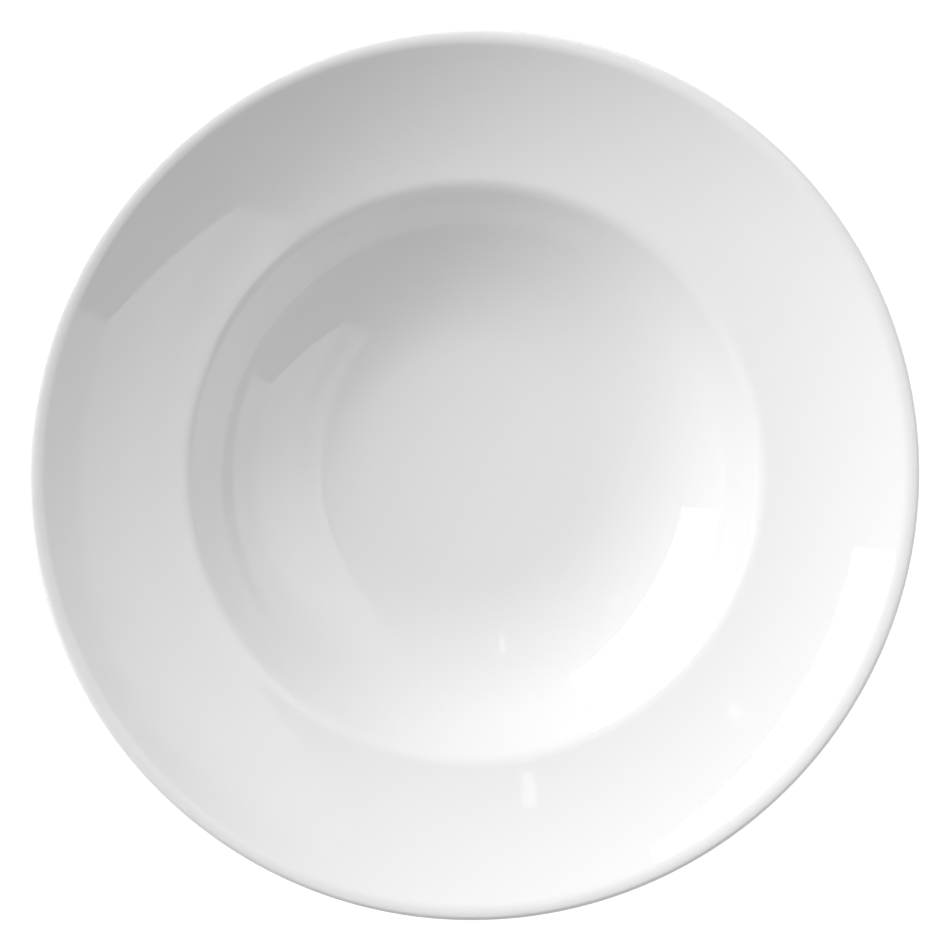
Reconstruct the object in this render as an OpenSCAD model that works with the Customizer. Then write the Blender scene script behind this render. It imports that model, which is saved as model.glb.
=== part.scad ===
// Pasta plate in white hotel porcelain: one fired body with a deep round well, a dished rim, a
// rolled lip and a turned foot ring, and the glaze that is melted onto it.
// Millimetres. The origin is the middle of the standing plane and +Z is the plate's axis.
// Every section curve is an arc that meets its neighbours on a shared normal, so each face of
// the glaze and of the body below it is the same run of arcs with the radii grown or shrunk.

/* [Plate] */
// Outside diameter over the glazed lip
plate_d = 300; // [270:1:330]
// Height of the crest of the lip above the table
plate_h = 63; // [58:0.5:66]
// Diameter of the corner between well and rim, before it is rounded
well_d = 195; // [186:1:202]
// Depth of the well below that corner
well_depth = 31; // [29:0.5:33]
// Diameter of the floor, where the cove of the well begins
floor_d = 82; // [74:1:88]
// How much lower the middle of the floor lies than its edge
floor_dish = 0.6; // [0.3:0.1:1.2]

/* [Rim] */
// Section radius of the rim's dished upper face
rim_sweep_r = 122; // [100:1:180]
// Rounding over which the rim turns up to the crest of the lip
lip_roll_r = 6.5; // [5:0.5:8]
// Rounding of the lip's edge, from the crest down to the underside
lip_r = 1.5; // [1.3:0.1:1.9]
// Rounding of the shoulder between well and rim
shoulder_r = 11; // [6:0.5:14]

/* [Bowl] */
// Thickness of the floor and of the bowl's wall
wall_t = 4.6; // [4:0.1:5.5]
// Height of the underside's middle above the table
base_lift = 2.4; // [2:0.1:3]
// Rounding below the shoulder, where rim and bowl meet
armpit_r = 14; // [8:1:20]

/* [Foot] */
// Diameter of the middle of the standing ring
foot_d = 122; // [116:1:128]
// Width of the flat standing face
foot_w = 2.6; // [1.8:0.1:3.4]
// Lean of both sides of the foot
foot_draft = 12; // [6:1:16]
// Rounding of the edges of the standing face
foot_edge_r = 0.8; // [0.5:0.1:1]
// Rounding where the foot grows out of the bowl
foot_root_r = 2; // [1.5:0.1:2.4]

/* [Glaze] */
// Thickness of the fired glaze
glaze_t = 0.3; // [0.2:0.05:0.5]
// Height on the foot at which the glaze is wiped away
glaze_line = 1.2; // [1.1:0.05:1.4]
// Length over which the wiped edge thins out, in glaze thicknesses
glaze_feather = 1.5; // [1:0.1:2]

/* [Hidden] */

$fn = 240;
// Largest distance between an arc of the section and its chords
chord_gap = 0.01;

plate_r = plate_d / 2;
floor_r = floor_d / 2;
floor_z = base_lift + wall_t;

// Direction from one point to another in degrees, and the unit vector at an angle
function heading(from, to) = atan2(to[1] - from[1], to[0] - from[0]);
function ray(angle) = [cos(angle), sin(angle)];

// Point at distance ra from a and rb from b, on the left of the way from a to b (side = 1)
function meet(a, ra, b, rb, side) =
    let (
        gap = norm(b - a),
        along = (gap * gap + ra * ra - rb * rb) / (2 * gap),
        across = sqrt(ra * ra - along * along),
        way = (b - a) / gap
    )
    a + along * way + side * across * [-way[1], way[0]];

// Points of an arc without its last one, which is the first of the next arc
function arc(centre, r, from, to, grow = 0) =
    let (steps = max(3, ceil(abs(to - from) / (2 * acos(1 - chord_gap / r)))))
    [for (i = [0:steps - 1]) centre + (r + grow) * ray(from + (to - from) * i / steps)];

function backwards(points) = [for (i = [len(points) - 1:-1:0]) points[i]];

// Floor: a very shallow arc about a centre high on the axis
floor_sweep_r = (floor_r * floor_r + floor_dish * floor_dish) / (2 * floor_dish);
floor_c = [0, floor_z + floor_sweep_r];
floor_end = [floor_r, floor_z + floor_dish];
floor_lean = heading(floor_c, floor_end);

// Cove of the well: leaves the floor on its normal and passes through the corner
corner = [well_d / 2, floor_z + well_depth];
cove_chord = corner - floor_end;
cove_r = cove_chord * cove_chord / (-2 * cove_chord * ray(floor_lean));
cove_c = floor_end - cove_r * ray(floor_lean);

// Rim: passes through the corner and rests on the roll of the lip, whose crest is the edge's too
lip_c = [plate_r - lip_r, plate_h - lip_r];
roll_c = [plate_r - lip_r, plate_h - lip_roll_r];
rim_c = meet(corner, rim_sweep_r, roll_c, rim_sweep_r + lip_roll_r, 1);

// Roundings above and below the corner, each touching the well's arc and the rim's
shoulder_c = meet(cove_c, cove_r + shoulder_r, rim_c, rim_sweep_r + shoulder_r, -1);
bowl_r = cove_r + wall_t;
// The rim's underside runs along its upper face and touches the lip's edge from below
under_r = norm(lip_c - rim_c) + lip_r;
armpit_c = meet(cove_c, bowl_r + armpit_r, rim_c, under_r + armpit_r, -1);

// Foot: the bare sides lean out from the sharp corners of the standing face (side = 1 is outside)
edge_run = foot_edge_r / tan(45 + foot_draft / 2);
function foot_corner(side) = [foot_d / 2 + side * (foot_w / 2 + edge_run), 0];
function side_way(side) = [side * sin(foot_draft), cos(foot_draft)];
function side_normal(side) = [side * cos(foot_draft), -sin(foot_draft)];
function edge_c(side) = [foot_d / 2 + side * foot_w / 2, foot_edge_r];

// A point of the foot's side at height z, lifted off the bare body by a thickness
function on_side(side, z, lift) =
    foot_corner(side) + side_way(side) * z / cos(foot_draft) + side_normal(side) * lift;

// Centre of the rounding at the foot's root, which touches the glazed side and the bowl
function root_c(side) =
    let (
        start = foot_corner(side) + side_normal(side) * (glaze_t + foot_root_r) - cove_c,
        reach = bowl_r + foot_root_r,
        back = start * side_way(side)
    )
    cove_c + start + side_way(side) * (-back - sqrt(back * back - start * start + reach * reach));

// Edge of the glaze on the foot's side, feathered from the body up to the full coat
function glaze_edge(side, depth) =
    on_side(side, glaze_line + (glaze_t - depth) * glaze_feather, glaze_t - depth);

// Section of the coat at a depth below its surface, from the axis over the lip to the foot
function coat_line(depth) =
    let (
        root = root_c(1),
        out = heading(rim_c, roll_c),
        under = heading(rim_c, lip_c)
    )
    concat(
        arc(floor_c, floor_sweep_r, -90, floor_lean, depth),
        arc(cove_c, cove_r, floor_lean, heading(cove_c, shoulder_c), depth),
        arc(shoulder_c, shoulder_r, heading(shoulder_c, cove_c), heading(shoulder_c, rim_c), -depth),
        arc(rim_c, rim_sweep_r, heading(rim_c, shoulder_c), out, depth),
        arc(roll_c, lip_roll_r, out + 180, 90, -depth),
        arc(lip_c, lip_r, 90, under, -depth),
        arc(rim_c, under_r, under, heading(rim_c, armpit_c), -depth),
        arc(armpit_c, armpit_r, heading(armpit_c, rim_c), heading(armpit_c, cove_c), depth),
        arc(cove_c, bowl_r, heading(cove_c, armpit_c), heading(cove_c, root), -depth),
        arc(root, foot_root_r, heading(root, cove_c), 180 - foot_draft, depth),
        [root + (foot_root_r + depth) * ray(180 - foot_draft), glaze_edge(1, depth)]
    );

// Section of the patch inside the foot, from the foot to the axis
function patch_line(depth) =
    let (root = root_c(-1))
    concat(
        [glaze_edge(-1, depth)],
        arc(root, foot_root_r, foot_draft, heading(root, cove_c), depth),
        arc(cove_c, bowl_r, heading(cove_c, root), floor_lean, -depth),
        arc(floor_c, floor_sweep_r + wall_t, floor_lean, -90, -depth),
        [[0, base_lift + depth]]
    );

// Section of the bare standing edge, from the outer glaze edge to the inner one
function bare_line() =
    concat(
        arc(edge_c(1), foot_edge_r, -foot_draft, -90),
        [[foot_d / 2 + foot_w / 2, 0]],
        arc(edge_c(-1), foot_edge_r, -90, -180 + foot_draft),
        [edge_c(-1) + foot_edge_r * ray(180 + foot_draft)]
    );

// Fired body, whose skin lies one glaze thickness inside the finished faces
module porcelain_body() {
    color("linen")
        rotate_extrude()
            polygon(concat(coat_line(glaze_t), bare_line(), patch_line(glaze_t)));
}

// Glaze over the well, the rim, the lip and the underside as far as the outside of the foot
module glaze_coat() {
    color("white")
        rotate_extrude()
            polygon(concat(coat_line(0), backwards(coat_line(glaze_t))));
}

// Glaze on the underside within the foot
module base_glaze() {
    color("white")
        rotate_extrude()
            polygon(concat(patch_line(0), backwards(patch_line(glaze_t))));
}

porcelain_body();
glaze_coat();
base_glaze();
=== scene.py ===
from math import acos, atan2, ceil, cos, degrees, pi, radians, sin, sqrt, tan

import bmesh
import bpy
from mathutils import Matrix, Vector


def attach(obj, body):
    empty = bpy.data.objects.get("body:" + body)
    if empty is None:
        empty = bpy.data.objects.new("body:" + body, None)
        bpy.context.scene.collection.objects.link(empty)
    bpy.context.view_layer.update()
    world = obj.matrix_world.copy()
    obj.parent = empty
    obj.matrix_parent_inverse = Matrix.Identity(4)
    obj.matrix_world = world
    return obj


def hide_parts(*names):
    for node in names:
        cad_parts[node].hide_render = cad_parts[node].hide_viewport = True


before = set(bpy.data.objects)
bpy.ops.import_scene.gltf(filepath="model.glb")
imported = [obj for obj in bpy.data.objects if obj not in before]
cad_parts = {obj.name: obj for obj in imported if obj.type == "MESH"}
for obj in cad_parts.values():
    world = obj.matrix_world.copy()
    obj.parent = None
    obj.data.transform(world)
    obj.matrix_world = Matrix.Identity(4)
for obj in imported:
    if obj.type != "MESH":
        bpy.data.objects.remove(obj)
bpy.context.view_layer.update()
scene = bpy.context.scene
scene.view_settings.view_transform = "Standard"
print("frame:", ", ".join(sorted(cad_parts)))


# The turned section, in millimetres from the middle of the standing plane

plateShape = {
    "across": 300.0,
    "height": 63.0,
    "wellAcross": 195.0,      # corner of well and rim before it is rounded
    "wellDepth": 31.0,
    "floorAcross": 82.0,
    "floorDish": 0.6,
    "rimSweep": 122.0,        # section radius of the dished rim
    "lipRoll": 6.5,           # rim up to the crest of the lip
    "lip": 1.5,               # crest down to the underside
    "shoulder": 11.0,
    "wallThick": 4.6,
    "baseLift": 2.4,
    "armpit": 14.0,
    "footAcross": 122.0,
    "footWidth": 2.6,
    "footDraft": 12.0,        # degrees
    "footEdge": 0.8,
    "footRoot": 2.0,
    "glazeThick": 0.3,
    "glazeLine": 1.2,
    "glazeFeather": 1.5,
}


def heading(start, end):
    return degrees(atan2(end[1] - start[1], end[0] - start[0]))


def ray(angle):
    return Vector((cos(radians(angle)), sin(radians(angle))))


def meet(a, reachA, b, reachB, side):
    gap = (b - a).length
    along = (gap * gap + reachA * reachA - reachB * reachB) / (2 * gap)
    across = sqrt(reachA * reachA - along * along)
    way = (b - a) / gap
    return a + along * way + side * across * Vector((-way[1], way[0]))


def arc(centre, radius, start, end, grow, gap):
    # without its last point, which is the first of the next arc
    steps = max(3, ceil(abs(end - start) / (2 * degrees(acos(1 - gap / radius)))))
    return [centre + (radius + grow) * ray(start + (end - start) * i / steps) for i in range(steps)]


def plateSection(shape):
    # centres of all arcs; neighbours share a normal, so a skin is the same arcs grown or shrunk
    s = dict(shape)
    half = s["across"] / 2
    floorRadius = s["floorAcross"] / 2
    s["floorLevel"] = s["baseLift"] + s["wallThick"]
    s["floorSweep"] = (floorRadius ** 2 + s["floorDish"] ** 2) / (2 * s["floorDish"])
    s["floorAt"] = Vector((0, s["floorLevel"] + s["floorSweep"]))
    floorEnd = Vector((floorRadius, s["floorLevel"] + s["floorDish"]))
    s["floorLean"] = heading(s["floorAt"], floorEnd)
    corner = Vector((s["wellAcross"] / 2, s["floorLevel"] + s["wellDepth"]))
    chord = corner - floorEnd
    s["cove"] = chord.dot(chord) / (-2 * chord.dot(ray(s["floorLean"])))
    s["coveAt"] = floorEnd - s["cove"] * ray(s["floorLean"])
    s["lipAt"] = Vector((half - s["lip"], s["height"] - s["lip"]))
    s["rollAt"] = Vector((half - s["lip"], s["height"] - s["lipRoll"]))
    s["rimAt"] = meet(corner, s["rimSweep"], s["rollAt"], s["rimSweep"] + s["lipRoll"], 1)
    s["shoulderAt"] = meet(s["coveAt"], s["cove"] + s["shoulder"],
                           s["rimAt"], s["rimSweep"] + s["shoulder"], -1)
    s["bowl"] = s["cove"] + s["wallThick"]
    s["under"] = (s["lipAt"] - s["rimAt"]).length + s["lip"]
    s["armpitAt"] = meet(s["coveAt"], s["bowl"] + s["armpit"], s["rimAt"], s["under"] + s["armpit"], -1)
    return s


def footCorner(s, side):
    run = s["footEdge"] / tan(radians(45 + s["footDraft"] / 2))
    return Vector((s["footAcross"] / 2 + side * (s["footWidth"] / 2 + run), 0))


def footWay(s, side):
    return Vector((side * sin(radians(s["footDraft"])), cos(radians(s["footDraft"]))))


def footNormal(s, side):
    return Vector((side * cos(radians(s["footDraft"])), -sin(radians(s["footDraft"]))))


def footRootAt(s, side):
    lift = s["glazeThick"] + s["footRoot"]
    start = footCorner(s, side) + footNormal(s, side) * lift - s["coveAt"]
    reach = s["bowl"] + s["footRoot"]
    back = start.dot(footWay(s, side))
    slide = -back - sqrt(back * back - start.dot(start) + reach * reach)
    return s["coveAt"] + start + footWay(s, side) * slide


def glazeEdge(s, side, depth):
    lift = s["glazeThick"] - depth
    level = s["glazeLine"] + lift * s["glazeFeather"]
    onSide = footCorner(s, side) + footWay(s, side) * level / cos(radians(s["footDraft"]))
    return onSide + footNormal(s, side) * lift


def coatLine(s, depth, gap):
    # from the axis over floor, well, rim and lip to the outside of the foot
    root = footRootAt(s, 1)
    out = heading(s["rimAt"], s["rollAt"])
    under = heading(s["rimAt"], s["lipAt"])
    draft = 180 - s["footDraft"]
    line = arc(s["floorAt"], s["floorSweep"], -90, s["floorLean"], depth, gap)
    line += arc(s["coveAt"], s["cove"], s["floorLean"], heading(s["coveAt"], s["shoulderAt"]), depth, gap)
    line += arc(s["shoulderAt"], s["shoulder"], heading(s["shoulderAt"], s["coveAt"]),
                heading(s["shoulderAt"], s["rimAt"]), -depth, gap)
    line += arc(s["rimAt"], s["rimSweep"], heading(s["rimAt"], s["shoulderAt"]), out, depth, gap)
    line += arc(s["rollAt"], s["lipRoll"], out + 180, 90, -depth, gap)
    line += arc(s["lipAt"], s["lip"], 90, under, -depth, gap)
    line += arc(s["rimAt"], s["under"], under, heading(s["rimAt"], s["armpitAt"]), -depth, gap)
    line += arc(s["armpitAt"], s["armpit"], heading(s["armpitAt"], s["rimAt"]),
                heading(s["armpitAt"], s["coveAt"]), depth, gap)
    line += arc(s["coveAt"], s["bowl"], heading(s["coveAt"], s["armpitAt"]),
                heading(s["coveAt"], root), -depth, gap)
    line += arc(root, s["footRoot"], heading(root, s["coveAt"]), draft, depth, gap)
    return line + [root + (s["footRoot"] + depth) * ray(draft), glazeEdge(s, 1, depth)]


def patchLine(s, depth, gap):
    # from the inside of the foot to the axis
    root = footRootAt(s, -1)
    line = [glazeEdge(s, -1, depth)]
    line += arc(root, s["footRoot"], s["footDraft"], heading(root, s["coveAt"]), depth, gap)
    line += arc(s["coveAt"], s["bowl"], heading(s["coveAt"], root), s["floorLean"], -depth, gap)
    line += arc(s["floorAt"], s["floorSweep"] + s["wallThick"], s["floorLean"], -90, -depth, gap)
    return line + [Vector((0, s["baseLift"] + depth))]


def bareLine(s, gap):
    # the wiped standing edge between the two glazes
    middle = s["footAcross"] / 2
    outer = Vector((middle + s["footWidth"] / 2, s["footEdge"]))
    inner = Vector((middle - s["footWidth"] / 2, s["footEdge"]))
    line = arc(outer, s["footEdge"], -s["footDraft"], -90, 0, gap) + [outer - Vector((0, s["footEdge"]))]
    line += arc(inner, s["footEdge"], -90, -180 + s["footDraft"], 0, gap)
    return line + [inner + s["footEdge"] * ray(180 + s["footDraft"])]


# The wheel: a tree that turns a section into a closed piece and lets it settle as in the kiln

kiln = {
    "outOfRound": 0.0019,     # share of the radius
    "longAxis": 58.0,         # degrees
    "rimWarp": 0.00022,       # metres at the lip
    "warpTurn": 20.0,         # degrees
    "warpLobes": 3.0,
    "warpGrowth": 3.0,        # power of the height by which the warp grows, so the foot stays flat
    "hub": 0.001,             # metres, circle on which the section rides
    "weld": 1e-6,             # metres
}


def feed(tree, value, socket):
    # a value is another node's output or a constant
    if hasattr(value, "is_output"):
        tree.links.new(value, socket)
    else:
        socket.default_value = value


def nodeMath(tree, operation, *values):
    node = tree.nodes.new("ShaderNodeMath")
    node.operation = operation
    for i, value in enumerate(values):
        feed(tree, value, node.inputs[i])
    return node.outputs[0]


def wheelTree():
    tree = bpy.data.node_groups.new("potterWheel", "GeometryNodeTree")
    face = tree.interface
    face.new_socket("Section", in_out="INPUT", socket_type="NodeSocketGeometry")
    face.new_socket("Turns", in_out="INPUT", socket_type="NodeSocketInt")
    for label in ("Hub", "Plate Height", "Out Of Round", "Long Axis",
                  "Rim Warp", "Warp Turn", "Warp Lobes", "Warp Growth", "Weld"):
        face.new_socket(label, in_out="INPUT", socket_type="NodeSocketFloat")
    face.new_socket("Finish", in_out="INPUT", socket_type="NodeSocketMaterial")
    face.new_socket("Piece", in_out="OUTPUT", socket_type="NodeSocketGeometry")
    add, link = tree.nodes.new, tree.links.new
    start, end = add("NodeGroupInput"), add("NodeGroupOutput")

    def maths(operation, *values):
        return nodeMath(tree, operation, *values)

    section = add("GeometryNodeMeshToCurve")
    link(start.outputs["Section"], section.inputs["Mesh"])
    circle = add("GeometryNodeCurvePrimitiveCircle")
    link(start.outputs["Turns"], circle.inputs["Resolution"])
    link(start.outputs["Hub"], circle.inputs["Radius"])
    upright = add("GeometryNodeSetCurveNormal")
    upright.mode = "Z_UP"
    link(circle.outputs["Curve"], upright.inputs["Curve"])
    turned = add("GeometryNodeCurveToMesh")
    link(upright.outputs["Curve"], turned.inputs["Curve"])
    link(section.outputs["Curve"], turned.inputs["Profile Curve"])

    # slightly oval, and the rim rises and falls a little around the plate
    place = add("GeometryNodeInputPosition")
    parts = add("ShaderNodeSeparateXYZ")
    link(place.outputs[0], parts.inputs[0])
    x, y, z = parts.outputs
    angle = maths("ARCTAN2", y, x)
    fromLong = maths("SUBTRACT", angle, start.outputs["Long Axis"])
    oval = maths("COSINE", maths("ADD", fromLong, fromLong))
    grow = maths("MULTIPLY_ADD", oval, start.outputs["Out Of Round"], 1.0)
    fromWarp = maths("SUBTRACT", angle, start.outputs["Warp Turn"])
    lobe = maths("COSINE", maths("MULTIPLY", start.outputs["Warp Lobes"], fromWarp))
    share = maths("DIVIDE", z, start.outputs["Plate Height"])
    upwards = maths("POWER", share, start.outputs["Warp Growth"])
    lift = maths("MULTIPLY", maths("MULTIPLY", lobe, start.outputs["Rim Warp"]), upwards)
    settled = add("ShaderNodeCombineXYZ")
    link(maths("MULTIPLY", x, grow), settled.inputs[0])
    link(maths("MULTIPLY", y, grow), settled.inputs[1])
    link(maths("ADD", z, lift), settled.inputs[2])
    move = add("GeometryNodeSetPosition")
    link(turned.outputs["Mesh"], move.inputs["Geometry"])
    link(settled.outputs[0], move.inputs["Position"])

    weld = add("GeometryNodeMergeByDistance")
    link(start.outputs["Weld"], weld.inputs["Distance"])
    smooth = add("GeometryNodeSetShadeSmooth")
    real = add("GeometryNodeRealizeInstances")
    finish = add("GeometryNodeSetMaterial")
    link(start.outputs["Finish"], finish.inputs["Material"])
    chain = [move, weld, smooth, real, finish]
    for before, after in zip(chain, chain[1:]):
        link(before.outputs[0], after.inputs["Geometry"])
    link(finish.outputs[0], end.inputs["Piece"])
    return tree


def socketIds(tree):
    return {item.name: item.identifier for item in tree.interface.items_tree
            if item.item_type == "SOCKET" and item.in_out == "INPUT"}


def throwPiece(name, line, turns, finish, tree):
    hub = kiln["hub"]
    mesh = bpy.data.meshes.new(name)
    # the wheel lays a section's first axis outwards and its second one downwards
    points = [(p[0] / 1000 - hub, -p[1] / 1000, 0) for p in line]
    mesh.from_pydata(points, [(i, i + 1) for i in range(len(points) - 1)], [])
    piece = bpy.data.objects.new(name, mesh)
    scene.collection.objects.link(piece)
    wheel = piece.modifiers.new("wheel", "NODES")
    wheel.node_group = tree
    ids = socketIds(tree)
    settings = {
        "Turns": turns, "Hub": hub, "Plate Height": plateShape["height"] / 1000,
        "Out Of Round": kiln["outOfRound"], "Long Axis": radians(kiln["longAxis"]),
        "Rim Warp": kiln["rimWarp"], "Warp Turn": radians(kiln["warpTurn"]),
        "Warp Lobes": kiln["warpLobes"], "Warp Growth": kiln["warpGrowth"],
        "Weld": kiln["weld"], "Finish": finish,
    }
    for label, value in settings.items():
        wheel[ids[label]] = value
    done = piece.evaluated_get(bpy.context.evaluated_depsgraph_get())
    plain = bpy.data.meshes.new_from_object(done)
    piece.modifiers.remove(wheel)
    piece.data = plain
    bpy.data.meshes.remove(mesh)
    plain.name = name
    tidy = bmesh.new()
    tidy.from_mesh(plain)
    bmesh.ops.recalc_face_normals(tidy, faces=tidy.faces)
    tidy.to_mesh(plain)
    tidy.free()
    low = [min(v.co[i] for v in plain.vertices) * 1000 for i in range(3)]
    high = [max(v.co[i] for v in plain.vertices) * 1000 for i in range(3)]
    print(name, len(plain.polygons), "faces", [round(v, 2) for v in low], [round(v, 2) for v in high])
    return piece


# Finishes


def newGroup(name, inputs, outputs):
    tree = bpy.data.node_groups.new(name, "ShaderNodeTree")
    for label in inputs:
        tree.interface.new_socket(label, in_out="INPUT", socket_type="NodeSocketFloat")
    for label in outputs:
        tree.interface.new_socket(label, in_out="OUTPUT", socket_type="NodeSocketFloat")
    return tree, tree.nodes.new("NodeGroupInput"), tree.nodes.new("NodeGroupOutput")


def clamped(tree, value, low, high):
    return nodeMath(tree, "MINIMUM", nodeMath(tree, "MAXIMUM", value, low), high)


def objectPlace(tree):
    return tree.nodes.new("ShaderNodeTexCoord").outputs["Object"]


def noise(tree, place, scale, detail=2.0, rough=0.5):
    node = tree.nodes.new("ShaderNodeTexNoise")
    tree.links.new(place, node.inputs["Vector"])
    feed(tree, scale, node.inputs["Scale"])
    node.inputs["Detail"].default_value = detail
    node.inputs["Roughness"].default_value = rough
    return node.outputs[0]


def fireCloudGroup():
    # broad, faint tone changes left by the firing
    tree, start, end = newGroup("fireCloud", ["Scale"], ["Tone"])
    broad = noise(tree, objectPlace(tree), start.outputs["Scale"], detail=3.0, rough=0.55)
    tree.links.new(broad, end.inputs["Tone"])
    return tree


def kilnSpeckGroup():
    # a few tiny specks: one in many cells of a cell pattern gets a dot
    tree, start, end = newGroup("kilnSpeck", ["Cells", "Share", "Size"], ["Mask"])
    cells = tree.nodes.new("ShaderNodeTexVoronoi")
    tree.links.new(objectPlace(tree), cells.inputs["Vector"])
    tree.links.new(start.outputs["Cells"], cells.inputs["Scale"])
    pick = tree.nodes.new("ShaderNodeSeparateColor")
    tree.links.new(cells.outputs["Color"], pick.inputs[0])
    chosen = nodeMath(tree, "LESS_THAN", pick.outputs[0], start.outputs["Share"])
    # each dot is 0.4 to 1.2 times the size, and its outer half is soft
    factor = nodeMath(tree, "MULTIPLY_ADD", pick.outputs[1], 0.8, 0.4)
    size = nodeMath(tree, "MULTIPLY", start.outputs["Size"], factor)
    edge = nodeMath(tree, "DIVIDE", nodeMath(tree, "SUBTRACT", size, cells.outputs["Distance"]), size)
    dot = clamped(tree, nodeMath(tree, "MULTIPLY", edge, 2.0), 0.0, 1.0)
    tree.links.new(nodeMath(tree, "MULTIPLY", dot, chosen), end.inputs["Mask"])
    return tree


def meltRippleGroup():
    # height of the melted skin: a long swell and a finer peel
    tree, start, end = newGroup("meltRipple", ["Swell", "Peel", "Peel Share"], ["Height"])
    place = objectPlace(tree)
    swell = noise(tree, place, start.outputs["Swell"], detail=1.0)
    peel = noise(tree, place, start.outputs["Peel"])
    height = nodeMath(tree, "MULTIPLY_ADD", peel, start.outputs["Peel Share"], swell)
    tree.links.new(height, end.inputs["Height"])
    return tree


def placeGroup(tree, group, **values):
    node = tree.nodes.new("ShaderNodeGroup")
    node.node_tree = group
    for label, value in values.items():
        node.inputs[label.replace("_", " ")].default_value = value
    return node


def newMaterial(name):
    material = bpy.data.materials.new(name)
    material.use_nodes = True
    return material, material.node_tree, material.node_tree.nodes["Principled BSDF"]


def tint(tree, colour, factor, second):
    mix = tree.nodes.new("ShaderNodeMix")
    mix.data_type = "RGBA"
    for label, value in (("A", colour), ("B", second), ("Factor", factor)):
        feed(tree, value, mix.inputs[label])
    return mix.outputs["Result"]


def rgba(colour):
    return (*colour, 1.0)


glazeFinish = {
    "white": (0.72, 0.72, 0.716),
    "shade": (0.68, 0.684, 0.69),      # where the melt is thicker
    "cloudScale": 16.0,                # patterns per metre, as all scales here
    "shadeFrom": 0.22,                 # tone at which the shade sets in
    "shadeMost": 0.24,
    "speck": (0.42, 0.37, 0.31),
    "speckStrength": 0.35,
    "speckCells": 62.0,
    "speckShare": 0.035,
    "speckSize": 0.016,
    "gloss": 0.01,
    "glossSpread": 0.02,
    "glossScale": 60.0,
    "rippleHeight": 0.00002,           # metres
    "swellScale": 38.0,
    "peelScale": 330.0,
    "peelShare": 0.8,
    "ior": 1.52,
}


def glazeMaterial(groups):
    look = glazeFinish
    material, tree, shader = newMaterial("whiteGlaze")
    cloud = placeGroup(tree, groups["cloud"], Scale=look["cloudScale"])
    speck = placeGroup(tree, groups["speck"], Cells=look["speckCells"], Share=look["speckShare"],
                       Size=look["speckSize"])
    ripple = placeGroup(tree, groups["ripple"], Swell=look["swellScale"], Peel=look["peelScale"],
                        Peel_Share=look["peelShare"])
    away = nodeMath(tree, "SUBTRACT", cloud.outputs["Tone"], look["shadeFrom"])
    thick = clamped(tree, away, 0.0, look["shadeMost"])
    colour = tint(tree, rgba(look["white"]), thick, rgba(look["shade"]))
    spot = nodeMath(tree, "MULTIPLY", speck.outputs["Mask"], look["speckStrength"])
    colour = tint(tree, colour, spot, rgba(look["speck"]))
    tree.links.new(colour, shader.inputs["Base Color"])
    drift = noise(tree, objectPlace(tree), look["glossScale"])
    gloss = nodeMath(tree, "MULTIPLY_ADD", drift, look["glossSpread"], look["gloss"])
    tree.links.new(gloss, shader.inputs["Roughness"])
    shader.inputs["IOR"].default_value = look["ior"]
    bump = tree.nodes.new("ShaderNodeBump")
    bump.inputs["Distance"].default_value = look["rippleHeight"]
    tree.links.new(ripple.outputs["Height"], bump.inputs["Height"])
    tree.links.new(bump.outputs["Normal"], shader.inputs["Normal"])
    return material


biscuitFinish = {
    "clay": (0.80, 0.775, 0.73),
    "rubbed": (0.60, 0.575, 0.54),     # grey from standing and stacking
    "cloudScale": 34.0,
    "toneShare": 0.25,
    "speck": (0.45, 0.38, 0.30),
    "speckStrength": 0.5,
    "speckCells": 420.0,
    "speckShare": 0.10,
    "speckSize": 0.16,
    "rubHeight": 0.0006,               # metres above the table
    "rubScale": 160.0,
    "rubPolish": 0.3,
    "roughness": 0.82,
    "grain": 0.00006,                  # metres
    "grainScale": 900.0,
    "fineScale": 3200.0,
    "fineShare": 0.6,
    "spongeLines": 0.00003,            # metres
    "spongeScale": 900.0,
    "spongeWobble": 1.5,
}


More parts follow.
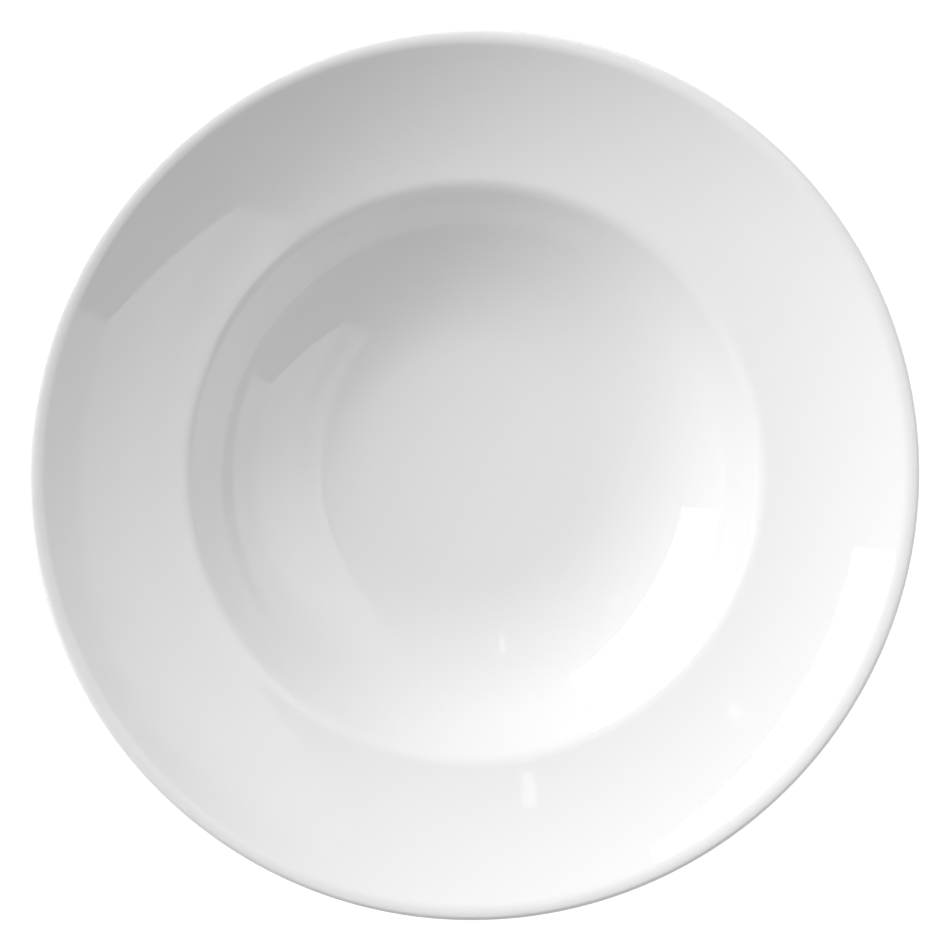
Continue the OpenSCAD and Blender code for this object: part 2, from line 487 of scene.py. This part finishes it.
def biscuitMaterial(groups):
    look = biscuitFinish
    material, tree, shader = newMaterial("bareBiscuit")
    cloud = placeGroup(tree, groups["cloud"], Scale=look["cloudScale"])
    speck = placeGroup(tree, groups["speck"], Cells=look["speckCells"], Share=look["speckShare"],
                       Size=look["speckSize"])
    ripple = placeGroup(tree, groups["ripple"], Swell=look["grainScale"], Peel=look["fineScale"],
                        Peel_Share=look["fineShare"])
    place = objectPlace(tree)
    level = tree.nodes.new("ShaderNodeSeparateXYZ")
    tree.links.new(place, level.inputs[0])
    # the standing face is rubbed grey in patches, the sides above it are not
    low = nodeMath(tree, "SUBTRACT", 1.0, nodeMath(tree, "DIVIDE", level.outputs[2], look["rubHeight"]))
    blotch = noise(tree, place, look["rubScale"], detail=5.0, rough=0.65)
    patch = nodeMath(tree, "MULTIPLY", nodeMath(tree, "MAXIMUM", low, 0.0), blotch)
    tone = nodeMath(tree, "MULTIPLY", cloud.outputs["Tone"], look["toneShare"])
    spot = nodeMath(tree, "MULTIPLY", speck.outputs["Mask"], look["speckStrength"])
    colour = tint(tree, rgba(look["clay"]), tone, rgba(look["rubbed"]))
    colour = tint(tree, colour, patch, rgba(look["rubbed"]))
    colour = tint(tree, colour, spot, rgba(look["speck"]))
    tree.links.new(colour, shader.inputs["Base Color"])
    polish = nodeMath(tree, "MULTIPLY", patch, look["rubPolish"])
    tree.links.new(nodeMath(tree, "SUBTRACT", look["roughness"], polish), shader.inputs["Roughness"])
    # rings left by the sponge that wiped the foot
    rings = tree.nodes.new("ShaderNodeTexWave")
    rings.wave_type = "RINGS"
    rings.rings_direction = "Z"
    rings.inputs["Scale"].default_value = look["spongeScale"]
    rings.inputs["Distortion"].default_value = look["spongeWobble"]
    tree.links.new(place, rings.inputs["Vector"])
    lines = tree.nodes.new("ShaderNodeBump")
    lines.inputs["Distance"].default_value = look["spongeLines"]
    tree.links.new(rings.outputs["Fac"], lines.inputs["Height"])
    grain = tree.nodes.new("ShaderNodeBump")
    grain.inputs["Distance"].default_value = look["grain"]
    tree.links.new(ripple.outputs["Height"], grain.inputs["Height"])
    tree.links.new(lines.outputs["Normal"], grain.inputs["Normal"])
    tree.links.new(grain.outputs["Normal"], shader.inputs["Normal"])
    return material


effects = {"cloud": fireCloudGroup(), "speck": kilnSpeckGroup(), "ripple": meltRippleGroup()}
whiteGlaze = glazeMaterial(effects)
bareBiscuit = biscuitMaterial(effects)
print("finishes: white glaze, bare biscuit")


# Pieces

# skin and inside: how far a chord may lie off its arc, in millimetres
coatPiece = {"name": "glazeCoat", "node": "glaze_coat", "slot": "glaze",
             "turns": 256, "skin": 0.003, "inside": 0.02}
basePiece = {"name": "baseGlaze", "node": "base_glaze", "slot": "glaze",
             "turns": 256, "skin": 0.003, "inside": 0.02}
bodyPiece = {"name": "porcelainBody", "node": "porcelain_body", "slot": "biscuit",
             "turns": 256, "skin": 0.01}

potterWheel = wheelTree()
section = plateSection(plateShape)
deep = plateShape["glazeThick"]

coatSection = (coatLine(section, 0, coatPiece["skin"])
               + coatLine(section, deep, coatPiece["inside"])[::-1])
baseSection = (patchLine(section, 0, basePiece["skin"])[::-1]
               + patchLine(section, deep, basePiece["inside"]))
bodySection = (coatLine(section, deep, bodyPiece["skin"]) + bareLine(section, bodyPiece["skin"])
               + patchLine(section, deep, bodyPiece["skin"]))

for spec, line, finish in ((coatPiece, coatSection, whiteGlaze), (basePiece, baseSection, whiteGlaze),
                           (bodyPiece, bodySection, bareBiscuit)):
    piece = throwPiece(spec["name"], line, spec["turns"], finish, potterWheel)
    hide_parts(spec["node"])
    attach(piece, "root")
    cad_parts[spec["node"]].data.materials.clear()
    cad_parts[spec["node"]].data.materials.append(finish)
print("pieces: glaze coat, base glaze, porcelain body")


# Studio, in metres


def hangPanel(name, corner, first, second, radiance):
    corner, first, second = Vector(corner), Vector(first), Vector(second)
    middle = corner + (first + second) / 2
    x, y = first.normalized(), second.normalized()
    away = x.cross(y)
    if away.dot(-middle) > 0:          # lamps shine along their own -Z
        x, away = -x, -away
    lamp = bpy.data.lights.new(name, "AREA")
    lamp.shape = "RECTANGLE"
    lamp.size, lamp.size_y = first.length, second.length
    lamp.energy = pi * first.length * second.length * radiance
    panel = bpy.data.objects.new(name, lamp)
    scene.collection.objects.link(panel)
    turn = Matrix((x, y, away)).transposed().to_4x4()
    panel.matrix_world = Matrix.Translation(middle) @ turn
    panel.visible_camera = False


softBox = {
    "corner": (-1.022, 0.116, 0.25),
    "along": (0.414, 1.137, 0.0),
    "up": (0.0, 0.0, 0.55),
    "glow": ((11.0, 5.0, 1.8), (2.4, 16.5, 12.5)),    # radiance of its cloth, rows from below
}


def hangSoftBox():
    corner, along, up = (Vector(softBox[key]) for key in ("corner", "along", "up"))
    rise = up / len(softBox["glow"])
    for row, strengths in enumerate(softBox["glow"]):
        step = along / len(strengths)
        for column, radiance in enumerate(strengths):
            hangPanel(f"softBox.{row}{column}", corner + rise * row + step * column, step, rise, radiance)


foldedCard = {
    "strips": 6,              # in which a leaf grades from end to end
    # foot and head of each leaf across and up, its ends along the table, glow near, middle and far
    "leaves": {
        "front": ((1.0, 0.35), (1.0, 0.67), (-0.5, 0.9), (0.95, 0.95, 0.1)),
        "shelf": ((1.0, 0.67), (0.4, 0.67), (-0.5, 0.9), (1.3, 1.5, 0.0)),
        "head": ((0.4, 0.67), (0.34, 1.02), (-0.5, 0.9), (0.8, 1.2, 0.0)),
    },
}


def hangCard():
    strips = foldedCard["strips"]
    for name, (foot, head, (near, far), glow) in foldedCard["leaves"].items():
        nearGlow, middleGlow, farGlow = glow
        wide = (far - near) / strips
        rise = (head[0] - foot[0], 0.0, head[1] - foot[1])
        for strip in range(strips):
            share = 2 * (strip + 0.5) / strips - 1      # -1 near, 0 middle, 1 far
            endGlow = farGlow if share > 0 else nearGlow
            radiance = middleGlow + abs(share) * (endGlow - middleGlow)
            corner = (foot[0], near + wide * strip, foot[1])
            hangPanel(f"card.{name}{strip}", corner, (0.0, wide, 0.0), rise, radiance)


def mixShaders(tree, factor, first, second):
    mix = tree.nodes.new("ShaderNodeMixShader")
    tree.links.new(factor, mix.inputs[0])
    tree.links.new(first.outputs[0], mix.inputs[1])
    tree.links.new(second.outputs[0], mix.inputs[2])
    return mix


table = {
    "half": 6.0,
    "level": -0.00002,        # just clear of the foot, so the two faces never share a plane
    "colour": (0.80, 0.80, 0.80),
    "shadowShare": 0.4,       # of the light that the seen table takes, which shows the shadow
    "white": 0.86,            # its own glow where it is seen
}


def layTable():
    mesh = bpy.data.meshes.new("table")
    r, z = table["half"], table["level"]
    mesh.from_pydata([(-r, -r, z), (r, -r, z), (r, r, z), (-r, r, z)], [], [(0, 1, 2, 3)])
    top = bpy.data.objects.new("table", mesh)
    scene.collection.objects.link(top)
    material, tree, shader = newMaterial("paleTable")
    tree.nodes.remove(shader)
    output = tree.nodes["Material Output"]
    path = tree.nodes.new("ShaderNodeLightPath")
    glossy, through = path.outputs["Is Glossy Ray"], path.outputs["Is Transmission Ray"]
    mirrored = nodeMath(tree, "MAXIMUM", glossy, through)
    seen = nodeMath(tree, "MAXIMUM", path.outputs["Is Camera Ray"], mirrored)
    lit = tree.nodes.new("ShaderNodeBsdfDiffuse")
    lit.inputs["Color"].default_value = rgba(table["colour"])
    faint = tree.nodes.new("ShaderNodeBsdfDiffuse")
    faint.inputs["Color"].default_value = rgba([table["shadowShare"]] * 3)
    glow = tree.nodes.new("ShaderNodeEmission")
    glow.inputs["Strength"].default_value = table["white"]
    white = tree.nodes.new("ShaderNodeAddShader")
    tree.links.new(faint.outputs[0], white.inputs[0])
    tree.links.new(glow.outputs[0], white.inputs[1])
    upper = mixShaders(tree, seen, lit, white)
    # seen from below the table is clear, so the foot can be looked at
    side = tree.nodes.new("ShaderNodeNewGeometry")
    clear = tree.nodes.new("ShaderNodeBsdfTransparent")
    either = mixShaders(tree, side.outputs["Backfacing"], upper, clear)
    tree.links.new(either.outputs[0], output.inputs["Surface"])
    mesh.materials.append(material)


studioRoom = {
    # soft glows of the room: direction, how tightly each gathers, strength
    "nearCorner": ((-0.966, -0.259, 0.0), 6.0, 0.86),
    "farSide": ((0.0, 1.0, 0.0), 2.0, 0.54),
    "overhead": ((0.0, 0.0, 1.0), 2.0, 0.25),
    "horizon": ((0.0, 0.0, -1.0), 2.0, 0.56),
}


def lightRoom():
    world = bpy.data.worlds.new("studioRoom")
    scene.world = world
    world.use_nodes = True
    tree = world.node_tree
    light = tree.nodes["Background"]
    way = tree.nodes.new("ShaderNodeTexCoord").outputs["Generated"]
    total = 0.0
    for towards, gather, strength in studioRoom.values():
        near = tree.nodes.new("ShaderNodeVectorMath")
        near.operation = "DOT_PRODUCT"
        near.inputs[1].default_value = Vector(towards).normalized()
        tree.links.new(way, near.inputs[0])
        # 1 straight towards the glow, 0 straight away from it
        facing = nodeMath(tree, "MULTIPLY_ADD", near.outputs["Value"], 0.5, 0.5)
        gathered = nodeMath(tree, "POWER", clamped(tree, facing, 0.0, 1.0), gather)
        total = nodeMath(tree, "MULTIPLY_ADD", gathered, strength, total)
    tree.links.new(total, light.inputs["Strength"])
    light.inputs["Color"].default_value = rgba((1.0, 1.0, 1.0))
    white = tree.nodes.new("ShaderNodeBackground")
    white.inputs["Color"].default_value = rgba((1.0, 1.0, 1.0))
    path = tree.nodes.new("ShaderNodeLightPath")
    seen = nodeMath(tree, "MAXIMUM", path.outputs["Is Camera Ray"], path.outputs["Is Transmission Ray"])
    either = mixShaders(tree, seen, light, white)
    tree.links.new(either.outputs[0], tree.nodes["World Output"].inputs["Surface"])


photoView = {
    "leanX": -0.87,           # degrees off the plate's axis
    "leanY": 3.28,
    "distance": 1.6,          # metres above the lip
    "aimX": 0.00051,          # metres off the plate's axis
    "aimY": 0.0003,
    "acrossPixels": 892.0,    # the plate in a frame of 952 pixels
    "framePixels": 952.0,
    "sensor": 36.0,           # millimetres
}


def setCamera():
    lens = bpy.data.cameras.new("photoView")
    camera = bpy.data.objects.new("photoView", lens)
    scene.collection.objects.link(camera)
    lipLevel = (plateShape["height"] - plateShape["lip"]) / 1000
    aim = Vector((photoView["aimX"], photoView["aimY"], lipLevel))
    lean = Vector((tan(radians(photoView["leanX"])), tan(radians(photoView["leanY"])), 1.0))
    away = lean * photoView["distance"]
    z = away.normalized()
    x = Vector((0, 1, 0)).cross(z).normalized()
    turn = Matrix((x, z.cross(x), z)).transposed().to_4x4()
    camera.matrix_world = Matrix.Translation(aim + away) @ turn
    lens.sensor_width = photoView["sensor"]
    wide = photoView["framePixels"] * plateShape["across"] / 1000 / photoView["acrossPixels"]
    lens.lens = photoView["sensor"] * away.length / wide
    scene.camera = camera


lightGaps = {
    # corner, first edge, second edge, radiance
    "tallGap": ((-0.142, 0.993, 1.41), (-0.042, -0.007, 0.0), (0.0, 0.0, 0.74), 1.6),
    "shortGap": ((-0.76, 0.65, 1.09), (-0.024, -0.029, 0.0), (0.0, 0.0, 0.2), 1.35),
}

hangSoftBox()
hangCard()
for name, gap in lightGaps.items():
    hangPanel(name, *gap)
layTable()
lightRoom()
setCamera()
print("studio: soft box, folded card,", len(lightGaps), "gaps of light, table, room light, camera")
